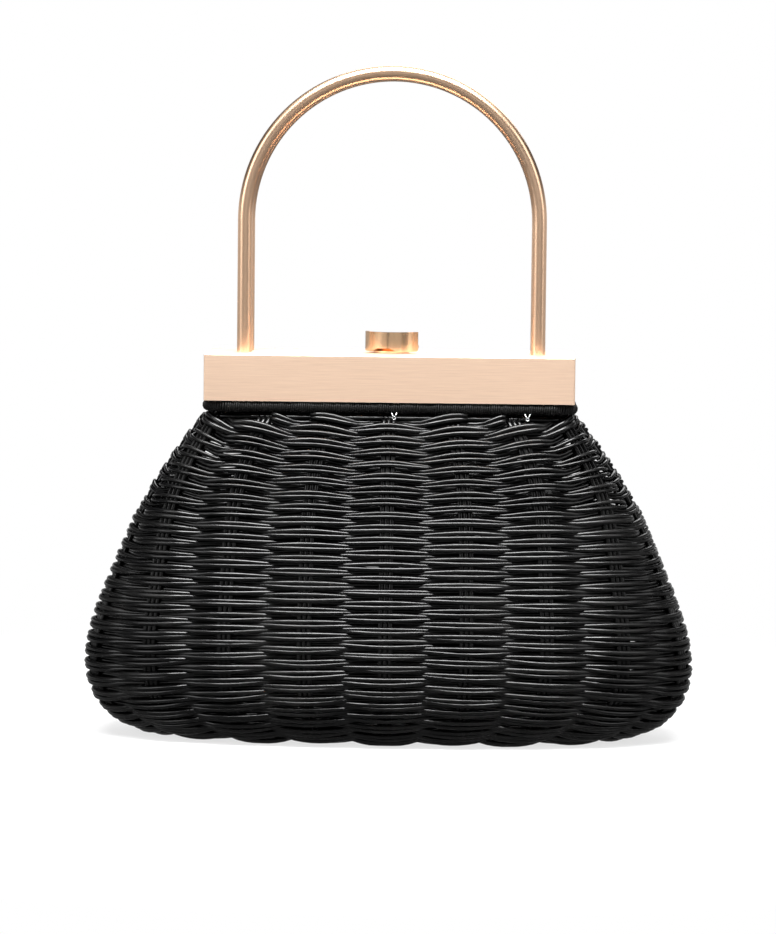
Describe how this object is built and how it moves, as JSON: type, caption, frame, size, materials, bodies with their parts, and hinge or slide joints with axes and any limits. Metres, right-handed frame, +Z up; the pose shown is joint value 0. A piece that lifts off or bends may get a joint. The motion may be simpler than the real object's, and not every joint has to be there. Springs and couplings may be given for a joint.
{
  "type": "wicker frame handbag",
  "caption": "Small black wicker handbag that flares to its base, with a two-part hinged metal frame, arch handles front and back, and a turning clasp.",
  "frame": {"origin": "middle of the bag's base, on the surface it stands on", "axes": "+Z up, front of the bag towards -Y, the bar and the handles' span along X"},
  "size_m": [0.2478, 0.0952, 0.275],
  "materials": {
    "wicker": "black lacquered reed, semi-gloss",
    "cord": "black waxed cord",
    "brushed_gold": "champagne gold, brushed along the bar",
    "satin_gold": "rose gold, satin",
    "polished_gold": "deep gold, polished",
    "dark_steel": "black painted steel",
    "screw_steel": "zinc plated"
  },
  "bodies": {
    "body": {"basket": "wicker", "hinge_pins": "dark_steel", "hinge_washers": "dark_steel"},
    "front_jaw": {"frame_front": "brushed_gold", "arm_front_left": "dark_steel", "arm_front_right": "dark_steel", "arm_rivets_front": "dark_steel", "rim_rod_front": "wicker", "rim_cord_front": "cord", "handle_front": "satin_gold", "handle_plugs_front": "screw_steel", "handle_screws_front": "screw_steel", "handle_washers_front": "screw_steel"},
    "back_jaw": {"frame_back": "brushed_gold", "keeper": "dark_steel", "arm_back_left": "dark_steel", "arm_back_right": "dark_steel", "arm_rivets_back": "dark_steel", "rim_rod_back": "wicker", "rim_cord_back": "cord", "handle_back": "satin_gold", "handle_plugs_back": "screw_steel", "handle_screws_back": "screw_steel", "handle_washers_back": "screw_steel"},
    "clasp": {"clasp_knob": "polished_gold", "clasp_dome": "polished_gold", "clasp_stem": "polished_gold", "clasp_washer": "screw_steel", "clasp_cam": "screw_steel", "clasp_nut": "screw_steel"}
  },
  "joints": [
    {"name": "front_jaw_hinge", "type": "hinge", "parent": "body", "child": "front_jaw", "pos_m": [0, 0, 0.1], "axis": [1, 0, 0], "range_deg": [0, 15], "deforming": ["basket"]},
    {"name": "back_jaw_hinge", "type": "hinge", "parent": "body", "child": "back_jaw", "pos_m": [0, 0, 0.1], "axis": [-1, 0, 0], "range_deg": [0, 15], "deforming": ["basket"]},
    {"name": "clasp_turn", "type": "hinge", "parent": "front_jaw", "child": "clasp", "pos_m": [0, 0, 0.158], "axis": [0, 0, 1], "range_deg": [-70, 20]}
  ]
}
